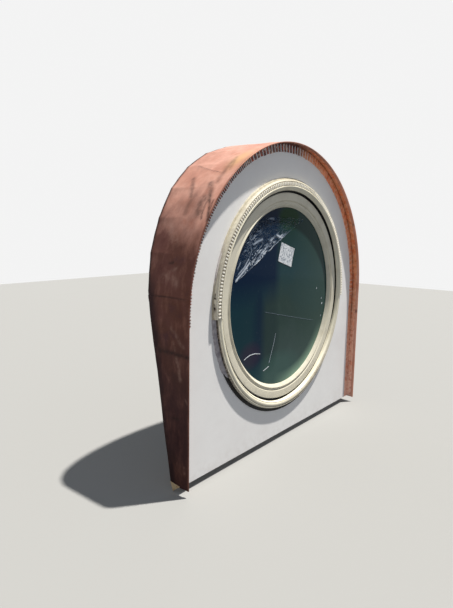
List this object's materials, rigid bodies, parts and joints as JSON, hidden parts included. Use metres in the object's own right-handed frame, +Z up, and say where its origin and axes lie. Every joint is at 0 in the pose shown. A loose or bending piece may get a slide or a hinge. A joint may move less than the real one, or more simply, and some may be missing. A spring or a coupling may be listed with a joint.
{
  "type": "round-window dormer",
  "caption": "Dormer for a steep slated roof: copper barrel hood and cheeks over an arched white panel with a round double-glazed window.",
  "frame": {"origin": "middle of the sill plate's sloping rear face, on the centreline of the window", "axes": "+X to the right seen from the front, -Y out through the window, +Z up; the roof face leans back towards +Y"},
  "size_m": [1.002, 0.2224, 0.975],
  "materials": {
    "copper_sheet": "weathered copper sheet, matt to satin, with dents and dark streaks",
    "copper_edge": "copper edge strip, satin, darker in the kerfs",
    "copper_bright": "bare underside of the sheet, pale tan",
    "panel_board": "white painted board",
    "casing_cream": "cream paint, scuffed and dirty at the left",
    "sash_paint": "grey-cream paint, satin",
    "black_seal": "black rubber",
    "window_glass": "clear glass, dark room behind",
    "spacer_metal": "mill aluminium",
    "plywood": "bare plywood",
    "softwood": "planed softwood"
  },
  "bodies": {
    "root": {"hood_barrel": "copper_sheet", "cheek_left": "copper_sheet", "cheek_right": "copper_sheet", "seam_left": "copper_sheet", "seam_right": "copper_sheet", "drip_edge_arch": "copper_edge", "drip_edge_left": "copper_edge", "drip_edge_right": "copper_edge", "corner_tab_left": "copper_bright", "corner_tab_right": "copper_bright", "front_panel": "panel_board", "casing_upper": "casing_cream", "casing_lower": "casing_cream", "toothed_nosing": "casing_cream", "double_bead": "casing_cream", "casing_seal": "black_seal", "window_jamb": "sash_paint", "sash_seal": "black_seal", "sash_ring": "sash_paint", "glazing_bead": "sash_paint", "glazing_gasket": "black_seal", "outer_pane": "window_glass", "spacer_ring": "spacer_metal", "inner_pane": "window_glass", "inner_stop": "sash_paint", "jamb_liner": "plywood", "sill_plate": "softwood", "stud_left": "softwood", "stud_right": "softwood", "front_rib": "plywood", "back_rib": "plywood", "sheathing_left": "plywood", "sheathing_right": "plywood", "sheathing_barrel": "plywood", "strut_top": "softwood", "strut_upper_left": "softwood", "strut_upper_right": "softwood", "strut_lower_left": "softwood", "strut_lower_right": "softwood"}
  },
  "joints": []
}
